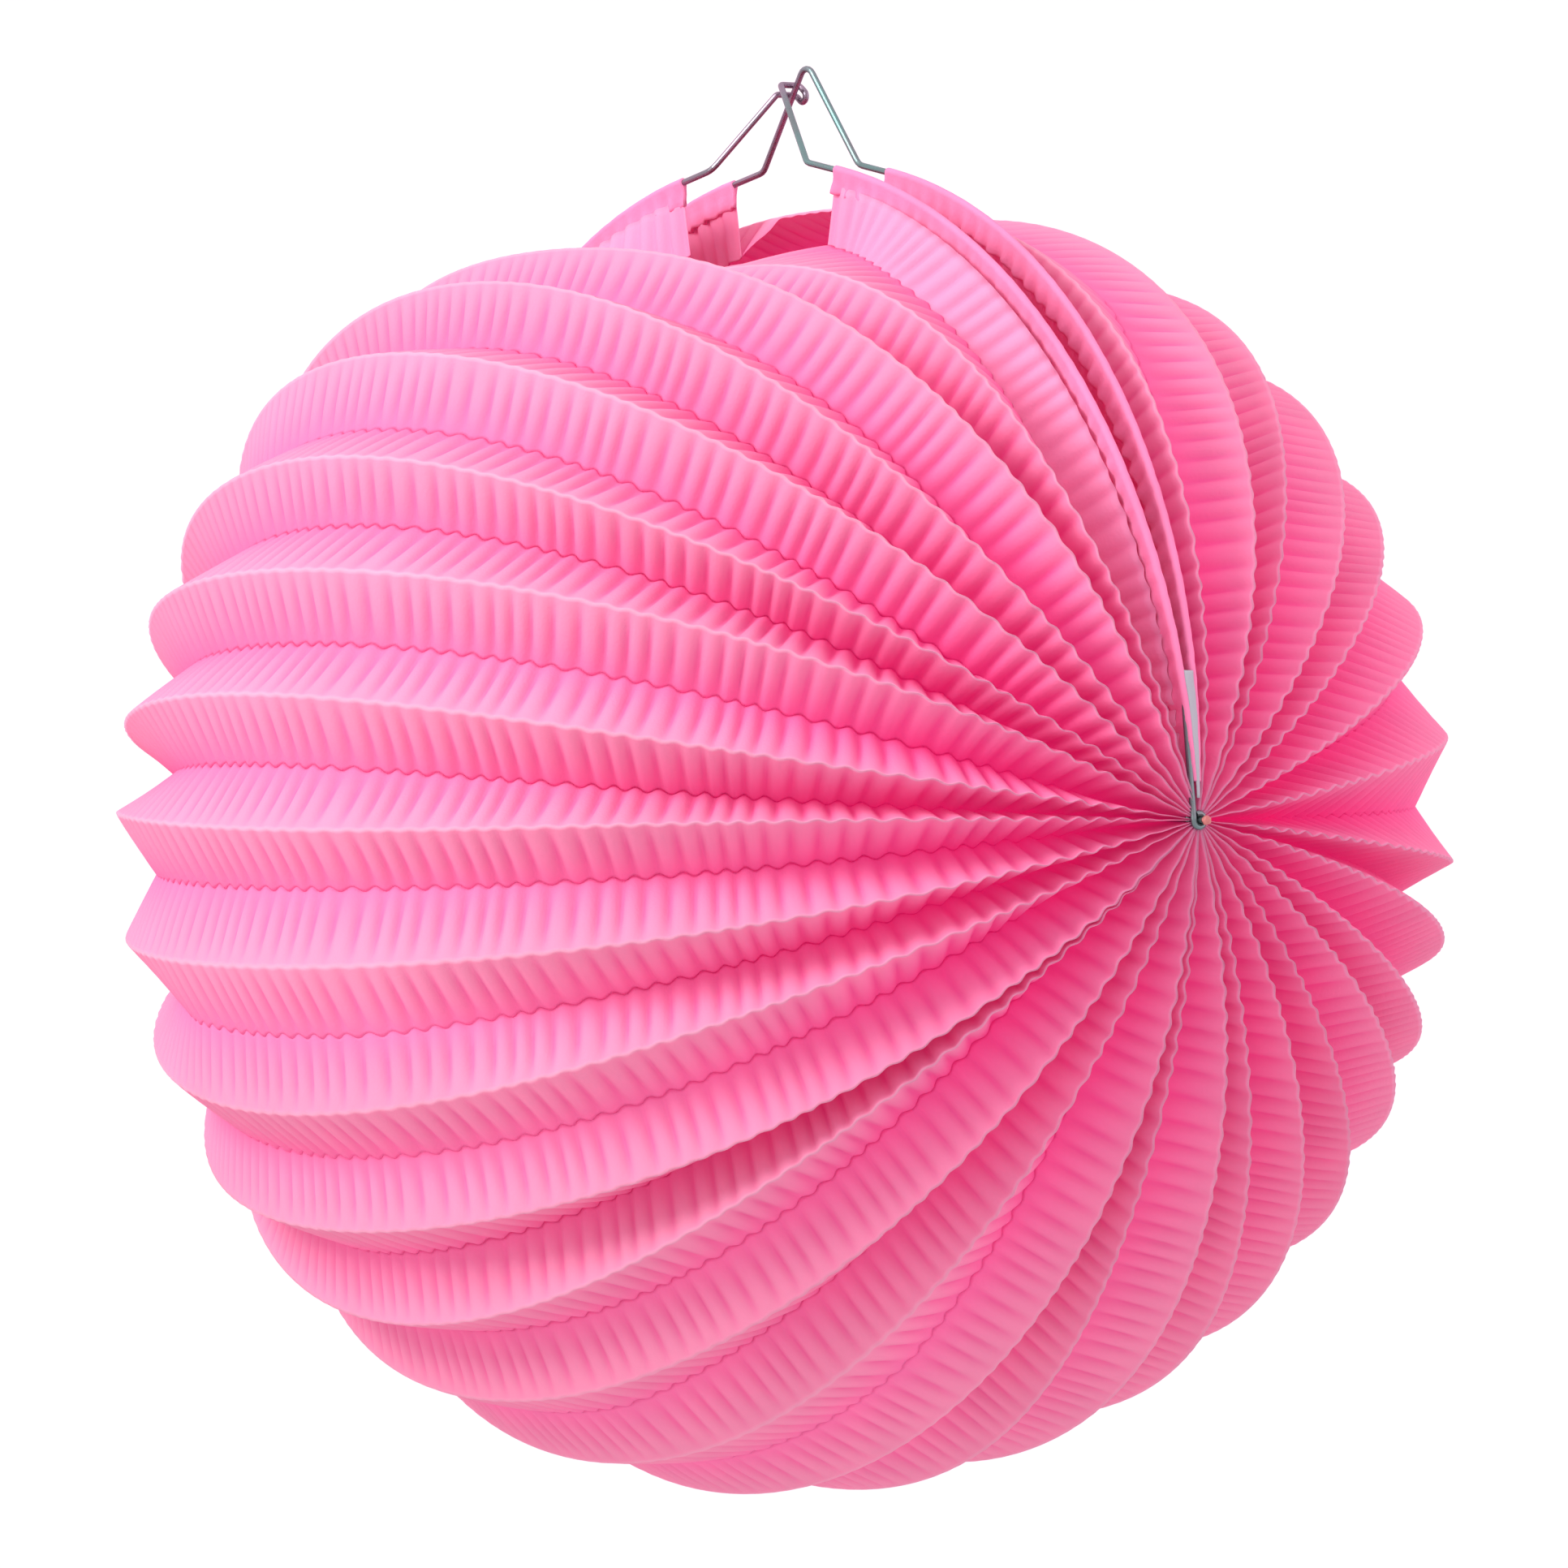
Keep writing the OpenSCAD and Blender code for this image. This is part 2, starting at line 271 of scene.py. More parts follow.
@dataclass(frozen=True)
class DrawnSteel:
    """Galvanised wire with fine drawing lines along it and patches of painted reflection.

    Attributes:
        name: Name of the material.
        dark: Colour in the drawing lines.
        light: Colour between them.
        right_reflection_tint: Painted reflection: teal tint of the surroundings mirrored in the
            right legs.
        left_reflection_tint: Painted reflection: mauve tint of the surroundings mirrored in the left
            legs.
    """

    name: str = "drawn steel wire"
    dark: Triple = (0.13, 0.14, 0.15)
    light: Triple = (0.22, 0.25, 0.26)
    right_reflection_tint: Triple = (0.13, 0.26, 0.25)
    left_reflection_tint: Triple = (0.3, 0.19, 0.27)

    def make(self) -> bpy.types.Material:
        """Builds the material.

        Returns:
            The finished material.
        """
        material = new_material(self.name)
        tree = material.node_tree
        nodes, links = tree.nodes, tree.links
        shader, place = nodes["Principled BSDF"], nodes.new("ShaderNodeTexCoord")
        lines, reflection_patch = nodes.new("ShaderNodeTexNoise"), nodes.new("ShaderNodeTexNoise")
        lines.inputs["Scale"].default_value = 2600
        lines.inputs["Detail"].default_value = 3
        reflection_patch.inputs["Scale"].default_value = 90
        for node in (lines, reflection_patch):
            links.new(place.outputs["Object"], node.inputs["Vector"])
        split = nodes.new("ShaderNodeSeparateXYZ")
        links.new(place.outputs["Object"], split.inputs[0])
        leg = mapped(tree, split.outputs["X"], (0.0, 1.0), (-4 * MM, 4 * MM))
        # Painted reflection: in patches the wire takes a tinted reflection, mauve on the left legs
        # and teal on the right.
        patch = mapped(tree, reflection_patch.outputs["Fac"], (0.0, 0.8), (0.3, 0.6))
        metal = mixed(tree, self.dark, self.light, lines.outputs["Fac"])
        hue = mixed(tree, self.left_reflection_tint, self.right_reflection_tint, leg)
        links.new(mixed(tree, metal, hue, patch), shader.inputs["Base Color"])
        shader.inputs["Metallic"].default_value = 0.85
        links.new(mapped(tree, lines.outputs["Fac"], (0.3, 0.48)), shader.inputs["Roughness"])
        relief = nodes.new("ShaderNodeBump")
        relief.inputs["Distance"].default_value = 0.02 * MM
        links.new(lines.outputs["Fac"], relief.inputs["Height"])
        links.new(relief.outputs[0], shader.inputs["Normal"])
        return material


@dataclass(frozen=True)
class SetGlue:
    """A drop of set hot glue, slightly cloudy.

    Attributes:
        name: Name of the material.
        tint: Base colour.
        cloud: Colour of the cloudy parts.
    """

    name: str = "set glue"
    tint: Triple = (0.42, 0.09, 0.1)
    cloud: Triple = (0.6, 0.22, 0.19)

    def make(self) -> bpy.types.Material:
        """Builds the material.

        Returns:
            The finished material.
        """
        material = new_material(self.name)
        tree = material.node_tree
        nodes, links = tree.nodes, tree.links
        shader = nodes["Principled BSDF"]
        place, haze = nodes.new("ShaderNodeTexCoord"), nodes.new("ShaderNodeTexNoise")
        haze.inputs["Scale"].default_value = 700
        links.new(place.outputs["Object"], haze.inputs["Vector"])
        tone = mixed(tree, self.tint, self.cloud, haze.outputs["Fac"])
        links.new(tone, shader.inputs["Base Color"])
        links.new(mapped(tree, haze.outputs["Fac"], (0.3, 0.5)), shader.inputs["Roughness"])
        return material


# --- geometry node terms ------------------------------------------------------------------------


class Term:
    """A number or vector inside a node tree. Sums and products of terms become its nodes."""

    def __init__(self, tree: bpy.types.NodeTree, socket: bpy.types.NodeSocket) -> None:
        """Wraps an output socket of the tree."""
        self.tree = tree
        self.socket = socket

    def apply(self, kind: str, operation: str, *others: "Term | float") -> "Term":
        """Adds one maths node.

        Args:
            kind: Type of the node.
            operation: Its operation.
            others: Further operands, terms or plain numbers.

        Returns:
            The node's result.
        """
        node = self.tree.nodes.new(kind)
        node.operation = operation
        for socket, value in zip(node.inputs, (self, *others)):
            if isinstance(value, Term):
                self.tree.links.new(value.socket, socket)
            else:
                socket.default_value = value
        return Term(self.tree, node.outputs[0])

    def maths(self, operation: str, *others: "Term | float") -> "Term":
        """Adds one scalar maths node."""
        return self.apply("ShaderNodeMath", operation, *others)

    def __add__(self, other: "Term | float") -> "Term":
        """Sum."""
        return self.maths("ADD", other)

    def __sub__(self, other: "Term | float") -> "Term":
        """Difference."""
        return self.maths("SUBTRACT", other)

    def __rsub__(self, other: float) -> "Term":
        """Difference from a plain number."""
        return self.maths("MULTIPLY_ADD", -1.0, other)

    def __mul__(self, other: "Term | float") -> "Term":
        """Product."""
        return self.maths("MULTIPLY", other)

    def __truediv__(self, other: "Term | float") -> "Term":
        """Quotient."""
        return self.maths("DIVIDE", other)

    def __neg__(self) -> "Term":
        """Opposite."""
        return self.maths("MULTIPLY", -1.0)

    def sin(self) -> "Term":
        """Sine of an angle in radians."""
        return self.maths("SINE")

    def cos(self) -> "Term":
        """Cosine of an angle in radians."""
        return self.maths("COSINE")

    def power(self, exponent: float) -> "Term":
        """Power with a plain exponent."""
        return self.maths("POWER", exponent)

    def at_least(self, other: "Term | float") -> "Term":
        """The larger of two."""
        return self.maths("MAXIMUM", other)

    def root(self) -> "Term":
        """Square root."""
        return self.maths("SQRT")

    def size(self) -> "Term":
        """Size without its sign."""
        return self.maths("ABSOLUTE")

    def rise(self, start: float, stop: float) -> "Term":
        """Smooth step from 0 at start to 1 at stop."""
        node = self.tree.nodes.new("ShaderNodeMapRange")
        node.interpolation_type = "SMOOTHSTEP"
        node.inputs["From Min"].default_value = start
        node.inputs["From Max"].default_value = stop
        self.tree.links.new(self.socket, node.inputs["Value"])
        return Term(self.tree, node.outputs[0])

    def towards(self, other: "Term", share: "Term") -> "Term":
        """Goes from this number to another by a share."""
        return self + (other - self) * share

    def plus(self, other: "Term") -> "Term":
        """Sum of two vectors."""
        return self.apply("ShaderNodeVectorMath", "ADD", other)

    def minus(self, other: "Term") -> "Term":
        """Difference of two vectors."""
        return self.apply("ShaderNodeVectorMath", "SUBTRACT", other)

    def scaled(self, share: "Term") -> "Term":
        """This vector times a number."""
        node = self.tree.nodes.new("ShaderNodeVectorMath")
        node.operation = "SCALE"
        self.tree.links.new(self.socket, node.inputs[0])
        self.tree.links.new(share.socket, node.inputs["Scale"])
        return Term(self.tree, node.outputs[0])

    def parts(self) -> Tuple["Term", "Term", "Term"]:
        """Splits a vector into its three numbers."""
        node = self.tree.nodes.new("ShaderNodeSeparateXYZ")
        self.tree.links.new(self.socket, node.inputs[0])
        return tuple(Term(self.tree, output) for output in node.outputs)


def vector(x: Term, y: Term, z: Term) -> Term:
    """Joins three numbers into a vector.

    Args:
        x: First number.
        y: Second number.
        z: Third number.

    Returns:
        The vector.
    """
    node = x.tree.nodes.new("ShaderNodeCombineXYZ")
    for socket, value in zip(node.inputs, (x, y, z)):
        x.tree.links.new(value.socket, socket)
    return Term(x.tree, node.outputs[0])


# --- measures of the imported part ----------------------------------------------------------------


@dataclass(frozen=True)
class Measures:
    """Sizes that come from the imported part.

    Attributes:
        centre: Middle of the ball, on the fold axis.
        ball_r: Radius over the pleat ridges.
        pleats: Number of free pleats.
        tilt: Angle of each bow from the vertical.
        mouth_half: Half length of the mouth.
        bow_r: Radius of the wire's middle.
        travel: How far the front bow turns to close the bellows.
    """

    centre: Vector
    ball_r: float
    pleats: int
    tilt: float
    mouth_half: float
    bow_r: float
    travel: float

    @property
    def pitch(self) -> float:
        """Angle from one pleat to the next."""
        return (2 * math.pi - 2 * self.tilt) / (self.pleats + 1)

    @property
    def closed_share(self) -> float:
        """Share of its open angle that a pleat keeps when the bellows is closed."""
        return 1.0 - self.travel / (2 * math.pi - 2 * self.tilt)

    def angle(self, index: int) -> float:
        """Regular angle of a ridge, 0 for the front bow and pleats + 1 for the rear one."""
        return self.tilt + self.pitch * index

    def in_bow(self, angle: float, x: float, rho: float) -> Vector:
        """Point of the half plane at an angle, x along the pole axis and rho off it."""
        return self.centre + Vector((x, -rho * math.sin(angle), rho * math.cos(angle)))


def measure() -> Measures:
    """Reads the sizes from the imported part.

    Returns:
        The sizes.
    """
    fold = next(joint for joint in frame["joints"] if joint["name"] == "fold")
    centre = Vector(fold["pos_m"])
    pleats = sum(1 for name in frame["nodes"] if name.startswith("pleat_"))
    ball_r = centre.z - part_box(f"pleat_{(pleats + 1) // 2:02d}")[0].z
    hem_low, hem_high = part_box("front_hem_right")
    wire_cover = 0.8 * MM
    bow_r = ball_r - wire_cover
    top = hem_high.z - centre.z
    offset = centre.y - hem_low.y - wire_cover
    return Measures(centre, ball_r, pleats, math.atan2(offset, top), hem_low.x, bow_r,
                    math.radians(fold["range_deg"][1]))


# --- the bellows --------------------------------------------------------------------------------


@dataclass
class FoldLine:
    """A fold that wanders off its regular angle.

    Attributes:
        middle: Offset halfway between the poles, in radians.
        lean: Offset that grows towards the right pole and shrinks to the left.
        bow: Offset that grows towards both poles.
    """

    middle: float = 0.0
    lean: float = 0.0
    bow: float = 0.0

    def line(self) -> Triple:
        """The three offsets as plain numbers."""
        return (self.middle, self.lean, self.bow)


@dataclass
class Bellows:
    """The crimped paper: the free pleats and the end leaves on the bows.

    Attributes:
        sizes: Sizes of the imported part.
        leaf_w: Width of a leaf from ridge to valley.
        crimps: Number of crimps from pole to pole.
        paper_t: Thickness of the paper.
        along: Points along a leaf.
        across: Points across a pleat.
        rim_sag: How far the first and last ridge sink at the mouth.
        rim_turn: Offset of the first and last ridge from their regular angles, in degrees.
        pairing: How far the ridges lean together in pairs at the poles, in degrees.
        valley_reach: How far the valleys wander, as a fold line's three offsets in degrees.
        crimp_h: Height of the crimps.
        crimp_skew: Share of a second, finer wave that makes the crimps' grooves sharper.
        wobbles: Rate, shift and swing of the waves that make the crimps irregular.
        bite: Share of a leaf that is cut away at the mouth.
        flap_depth: Share of the deep colour that the end leaves take.
        seam_gap: Angle between the bow and the valley that hangs off it at the mouth.
        pole_gap: Smallest distance of a leaf from the pole axis, as a share of its radius.
        end_u: Share of the way between the poles that is left free at each.
        seed: Seed of the irregular folds.
    """

    sizes: Measures
    leaf_w: float = 14.2 * MM
    crimps: float = 84.0
    paper_t: float = 0.15 * MM
    along: int = 673
    across: int = 15
    rim_sag: Tuple[float, float] = (19.0 * MM, 8.0 * MM)
    rim_turn: Tuple[float, float] = (1.5, 7.5)
    pairing: float = 5.0
    valley_reach: Triple = (0.6, 1.0, 1.6)
    crimp_h: float = 1.0 * MM
    crimp_skew: float = 0.26
    wobbles: Tuple[Triple, ...] = ((19.5, 1.0, 1.5), (45.9, 2.0, 1.0), (107.0, 0.5, 0.6))
    bite: float = 0.93
    flap_depth: float = 0.2
    seam_gap: float = 0.006
    pole_gap: float = 0.012
    end_u: float = 0.004
    seed: int = 7

    def __post_init__(self) -> None:
        """Draws the folds and builds the tree that all leaves share."""
        draw = random.Random(self.seed)
        count = self.sizes.pleats + 2
        self.ridges: List[FoldLine] = []
        self.valleys: List[FoldLine] = []
        for index in range(count):
            free = 0 if index in (0, count - 1) else 1
            turn = 2 * math.pi * index / (count - 1)
            slow = 2.0 - 1.3 * math.cos(turn) - 0.9 * math.sin(turn) + 2.4 * math.cos(2 * turn)
            quick = 0.6 * math.sin(4 * turn) + 0.6 * math.sin(5 * turn) - 0.5 * math.sin(3 * turn)
            middle = slow + quick + 0.95 * math.cos(6 * turn) + draw.uniform(-0.5, 0.5)
            fade = 0.4
            if index == 1:
                middle = self.rim_turn[0]
            elif index in (count - 2, count - 3):
                middle, fade = self.rim_turn[1] * (1.0 if index == count - 2 else 0.6), 1.0
            pairing = 1 if index % 2 else -1
            right, left = (pairing * draw.uniform(-0.6, self.pairing) for _ in Pole)
            offsets = (middle, (right - left) / 2, (right + left) / 2 - fade * middle)
            self.ridges.append(FoldLine(*(math.radians(free * value) for value in offsets)))
            offsets = [draw.uniform(-reach, reach) for reach in self.valley_reach]
            self.valleys.append(FoldLine(*(math.radians(value) for value in offsets)))
        self.tree = self.leaf_tree()

    def leaf_tree(self) -> bpy.types.NodeTree:
        """Builds the geometry node tree of a crimped, folded strip of paper.

        Returns:
            The tree, which makes a whole pleat or one leaf of it by its named inputs.
        """
        tree = bpy.data.node_groups.new("crimped leaf", "GeometryNodeTree")
        sockets = tree.interface
        sockets.new_socket(name="Geometry", in_out="OUTPUT", socket_type="NodeSocketGeometry")
        kinds = {
            "NodeSocketInt": ("Points Along", "Points Across"),
            "NodeSocketFloat": ("Start Along", "End Along", "Start Across", "End Across",
                                "Leaf Width", "Crimps", "Crimp Height", "Wander", "Mouth Side",
                                "Bow Angle", "Bitten", "Depth"),
            "NodeSocketVector": ("Centre", "Angles", "Radii", "Sags", "Ridge Before", "Ridge",
                                 "Ridge After", "Valley Before", "Valley After"),
            "NodeSocketMaterial": ("Finish",),
        }
        for kind, labels in kinds.items():
            for label in labels:
                sockets.new_socket(name=label, in_out="INPUT", socket_type=kind)
        nodes, links = tree.nodes, tree.links
        given, end = nodes.new("NodeGroupInput"), nodes.new("NodeGroupOutput")
        value = {output.name: Term(tree, output) for output in given.outputs if output.name}
        grid = nodes.new("GeometryNodeMeshGrid")
        grid.inputs["Size X"].default_value = 1
        grid.inputs["Size Y"].default_value = 1
        links.new(given.outputs["Points Along"], grid.inputs["Vertices X"])
        links.new(given.outputs["Points Across"], grid.inputs["Vertices Y"])
        place = Term(tree, nodes.new("GeometryNodeInputPosition").outputs[0])
        gx, gy, _ = place.parts()
        u = value["Start Along"].towards(value["End Along"], gx + 0.5)
        w = value["Start Across"].towards(value["End Across"], gy + 0.5)
        side = w.maths("SIGN")
        v = (w.size() * math.pi).cos() * -0.5 + 0.5
        theta = u * math.pi
        along, off = theta.cos(), theta.sin()
        spread = off.at_least(self.pole_gap)
        lines = self.wandering_lines(value, along)
        radii = self.sinking_radii(value, along)
        mouth = self.mouth_shares(value, side, along)
        valley_angle, valley_r = self.valley(value, side, lines, radii, off, mouth)
        v = v * mouth["kept"]
        ridge_angle, ridge_r = lines["own"], radii[1]
        low, high = (valley_angle, valley_r), (ridge_angle, ridge_r)
        point_v = vector(valley_r * along, -(valley_angle.sin() * valley_r * spread),
                         valley_angle.cos() * valley_r * spread)
        point_r = vector(ridge_r * along, -(ridge_angle.sin() * ridge_r * spread),
                         ridge_angle.cos() * ridge_r * spread)
        flat = point_r.plus(point_v.minus(point_r).scaled(v))
        out, sideways, groove = self.crimp(value, u, v, side, off, low, high)
        angle = ridge_angle.towards(valley_angle, v)
        outward = vector(along, -(angle.sin() * off), angle.cos() * off)
        zero = off * 0.0
        about = vector(zero, -angle.cos(), -angle.sin())
        moved = flat.plus(outward.scaled(out)).plus(about.scaled(sideways)).plus(value["Centre"])
        shut = 1.0 - off.rise(0.15, 0.95)
        deep = (v * 0.6 + 0.22) * shut + v.power(2.0) * (1.0 - shut) * 0.4
        masks = {
            # Painted highlight along the ridge fold.
            "fold_wear": (1.0 - v.rise(0.0, 0.05)) * 0.6,
            "fold_depth": deep * value["Depth"],
            # Painted shade in the crimps' grooves.
            "crimp_groove": groove * value["Depth"] * 0.4,
        }
        flow = grid.outputs["Mesh"]
        for label, mask in masks.items():
            store = nodes.new("GeometryNodeStoreNamedAttribute")
            store.data_type = "FLOAT"
            store.inputs["Name"].default_value = label
            links.new(flow, store.inputs["Geometry"])
            links.new(mask.socket, next(s for s in store.inputs if s.name == "Value" and s.enabled))
            flow = store.outputs[0]
        for kind, label, source in (
                ("GeometryNodeSetPosition", "Position", moved.socket),
                ("GeometryNodeSetShadeSmooth", None, None),
                ("GeometryNodeRealizeInstances", None, None),
                ("GeometryNodeSetMaterial", "Material", given.outputs["Finish"])):
            node = nodes.new(kind)
            links.new(flow, node.inputs[0])
            if label:
                links.new(source, node.inputs[label])
            flow = node.outputs[0]
        links.new(flow, end.inputs[0])
        return tree

    @staticmethod
    def wandering_lines(value: Dict[str, Term], along: Term) -> Dict[str, Term]:
        """Angles of the three ridges and the offsets of the two valleys.

        Args:
            value: The tree's inputs.
            along: Cosine of the place between the poles.

        Returns:
            The angles before, own and after, and the offsets low and high.
        """
        before, own, after = value["Angles"].parts()
        lines = {}
        for name, start, label in (("before", before, "Ridge Before"), ("own", own, "Ridge"),
                                   ("after", after, "Ridge After"), ("low", None, "Valley Before"),
                                   ("high", None, "Valley After")):
            middle, lean, bow = value[label].parts()
            offset = middle + lean * along + bow * along * along
            lines[name] = offset if start is None else start + offset
        return lines

    @staticmethod
    def sinking_radii(value: Dict[str, Term], along: Term) -> Tuple[Term, Term, Term]:
        """Radii of the three ridges, sunk around the mouth.

        Args:
            value: The tree's inputs.
            along: Cosine of the place between the poles.

        Returns:
            The radii before, own and after.
        """
        sunk = 1.0 - along.size().rise(0.0, 0.8)
        return tuple(radius - sag * sunk
                     for radius, sag in zip(value["Radii"].parts(), value["Sags"].parts()))

    def mouth_shares(self, value: Dict[str, Term], side: Term, along: Term) -> Dict[str, Term]:
        """How far the mouth changes a point.

        Args:
            value: The tree's inputs.
            side: Side of the ridge that the point is on.
            along: Cosine of the place between the poles.

        Returns:
            The share hanging of the valley that hangs off the bow and the share kept of the leaf.
        """
        half = self.sizes.mouth_half / self.sizes.ball_r
        here = 1.0 - (value["Mouth Side"] - side).size().rise(0.0, 1.0)
        hanging = here * (1.0 - along.size().rise(half, half * 2.6))
        lost = (1.0 - along.size().rise(half * 0.84, half * 1.02)) * value["Bitten"] * here
        return {"hanging": hanging, "kept": 1.0 - lost}

    def valley(self, value: Dict[str, Term], side: Term, lines: Dict[str, Term],
               radii: Sequence[Term], off: Term, mouth: Dict[str, Term]) -> Tuple[Term, Term]:
        """Where the leaf's valley fold lies.

        Args:
            value: The tree's inputs.
            side: Side of the ridge that the point is on.
            lines: The fold lines' angles.
            radii: The ridges' radii.
            off: Sine of the place between the poles.
            mouth: Shares from mouth_shares.

        Returns:
            The valley's angle and radius.
        """
        after = side * 0.5 + 0.5
        next_angle = lines["before"].towards(lines["after"], after)
        next_r = radii[0].towards(radii[2], after)
        offset = lines["low"].towards(lines["high"], after)
        angle = (lines["own"] + next_angle) * 0.5 + offset
        chord = (next_angle - lines["own"]).size() * off * (self.sizes.ball_r * 0.5)
        width = value["Leaf Width"]
        depth = (width * width - chord * chord).at_least(0.00002).root()
        angle = angle.towards(value["Bow Angle"], mouth["hanging"])
        depth = depth.towards(width, mouth["hanging"])
        middle_r = (radii[1] + next_r) * 0.5
        bow_line = middle_r.at_least(self.sizes.bow_r)
        return angle, middle_r.towards(bow_line, mouth["hanging"]) - depth

    def crimp(self, value: Dict[str, Term], u: Term, v: Term, side: Term, off: Term,
              low: Tuple[Term, Term], high: Tuple[Term, Term]) -> Tuple[Term, Term, Term]:
        """How far the crimps push a point.

        Args:
            value: The tree's inputs.
            u: Place between the poles.
            v: Place from ridge to valley.
            side: Side of the ridge that the point is on.
            off: Sine of the place between the poles.
            low: Angle and radius of the valley.
            high: Angle and radius of the ridge.

        Returns:
            The push outwards, the push about the pole axis and how deep in a groove the point is,
            used to paint shade into the grooves.
        """
        slow, middling, quick = ((u * rate + shift).sin() * swing
                                 for rate, shift, swing in self.wobbles)
        wobble = slow + middling + quick
        phase = u * value["Crimps"] * (2 * math.pi) + wobble
        phase = phase + v * (1.0 - v) * value["Wander"]
        swell = (v * math.pi).sin().at_least(0.0)
        wave = phase.cos() - side * swell * (phase * 2.0).cos() * self.crimp_skew
        near_pole = 1.0 - off
        ridge_part = (1.0 - v).power(3.0) * (near_pole * 0.4 + 0.08)
        middle_part = v * (1.0 - v) * 1.6
        valley_part = v.power(3.0) * 0.46
        fade = off.rise(0.02, 0.2)
        height = (ridge_part + middle_part + valley_part) * value["Crimp Height"] * fade * wave
        turned = swell.root()
        depth = high[1] - low[1]
        width = value["Leaf Width"]
        spread = (width * width - depth * depth).at_least(0.0).root()
        out = height * turned * side * spread / width
        sideways = height * ((1.0 - turned) + turned * depth / width)
        # Painted shade: a narrow dark groove between the crimps' pillows.
        groove = (0.5 - side * wave * 0.45).at_least(0.0).power(3.0) * swell * fade
        return out, sideways, groove

    def sag(self, index: int) -> float:
        """How far a ridge sinks at the mouth: the next one by a share of the rim's."""
        from_rim = min(index - 1, self.sizes.pleats - index)
        share = {0: 1.0, 1: 0.3, 2: 0.05}.get(from_rim, 0.0)
        return share * self.rim_sag[0 if index <= self.sizes.pleats // 2 else 1]

    def build(self, name: str, index: int, span: Tuple[float, float], across: Tuple[float, float],
              finish: bpy.types.Material, points: int) -> bpy.types.Object:
        """Runs the tree for one strip of paper and keeps the result as a plain mesh.

        Args:
            name: Name of the piece.
            index: Number of its ridge, 0 for the front bow.
            span: Start and end along, as shares of the way between the poles.
            across: Start and end across, -1 to 1.
            finish: Its material.
            points: Points across.

        Returns:
            The piece, with its thickness as a live modifier.
        """
        sizes, last, gap = self.sizes, self.sizes.pleats + 1, self.seam_gap
        near = [max(index - 1, 0), index, min(index + 1, last)]
        radii = [sizes.bow_r if i in (0, last) else sizes.ball_r for i in near]
        sags = [self.sag(i) for i in near]
        mouth = 1.0 if index in (0, last - 1) else -1.0 if index in (1, last) else 0.0
        drawn = random.Random(self.seed * 1000 + index)
        rows = max(int(self.along * (span[1] - span[0])), 60)
        values = {
            "Points Along": rows, "Points Across": points,
            "Start Along": span[0], "End Along": span[1],
            "Start Across": across[0], "End Across": across[1],
            "Leaf Width": self.leaf_w, "Crimps": self.crimps,
            "Crimp Height": self.crimp_h, "Wander": drawn.uniform(-2.0, 2.0),
            "Centre": tuple(sizes.centre), "Angles": tuple(sizes.angle(i) for i in near),
            "Radii": tuple(radii), "Sags": tuple(sags),
            "Ridge Before": self.ridges[near[0]].line(), "Ridge": self.ridges[index].line(),
            "Ridge After": self.ridges[near[2]].line(),
            "Valley Before": self.valleys[max(index - 1, 0)].line(),
            "Valley After": self.valleys[index].line(),
            "Mouth Side": mouth,
            "Bow Angle": sizes.angle(0) + gap if index < 2 else sizes.angle(last) - gap,
            "Bitten": self.bite if index in (1, last - 1) else 0.0,
            "Depth": self.flap_depth if index in (0, last) else 1.0,
            "Finish": finish,
        }
        holder = bpy.data.objects.new(name + "_tree", bpy.data.meshes.new(name + "_tree"))
        bpy.context.scene.collection.objects.link(holder)
        modifier = holder.modifiers.new("crimped leaf", "NODES")
        modifier.node_group = self.tree
        for item in self.tree.interface.items_tree:
            if item.in_out == "INPUT":
                modifier[item.identifier] = values[item.name]
        graph = bpy.context.evaluated_depsgraph_get()
        mesh = bpy.data.meshes.new_from_object(holder.evaluated_get(graph), depsgraph=graph)
        bpy.data.objects.remove(holder)
        mesh.name = name
        if not mesh.materials:
            mesh.materials.append(finish)
        piece = bpy.data.objects.new(name, mesh)
        bpy.context.scene.collection.objects.link(piece)
        thick = piece.modifiers.new("paper thickness", "SOLIDIFY")
        thick.thickness = self.paper_t
        thick.offset = 0.0
        return piece

    def flatten(self, piece: bpy.types.Object, angle: float) -> None:
        """Gives a piece its own copy of its mesh.

        Args:
            piece: The piece.
            angle: Angle of the half plane. Not used.
        """
        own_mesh(piece)

    def make(self, finish: bpy.types.Material, single: bpy.types.Material) -> None:
        """Builds the free pleats and the end leaves.

        Args:
            finish: Material of the pleats.
            single: Material of the end leaves.
        """
        first, final = self.end_u, 1.0 - self.end_u
        for index in range(1, self.sizes.pleats + 1):
            node = f"pleat_{index:02d}"
            piece = self.build(f"crimped_{node}", index, (first, final), (-1.0, 1.0), finish,
                               self.across)
            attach(piece, node)
            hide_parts(node)
            self.flatten(piece, self.sizes.angle(index))
        LOG.info("%d crimped pleats", self.sizes.pleats)
        cut = math.acos(self.sizes.mouth_half / self.sizes.bow_r) / math.pi
        last = self.sizes.pleats + 1
        for label, index, body, across in (("front", 0, "hook_bow", (0.3, 1.0)),
                                           ("rear", last, "eye_bow", (-1.0, -0.3))):
            for pole, span in ((Pole.RIGHT, (first, cut)), (Pole.LEFT, (1 - cut, final))):
                node = f"{label}_end_leaf_{pole.name.lower()}"
                piece = self.build(f"crimped_{node}", index, span, across, single, 9)
                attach(piece, body)
                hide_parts(node)
                self.flatten(piece, self.sizes.angle(index))
        LOG.info("4 end leaves")


# --- plain meshes -------------------------------------------------------------------------------


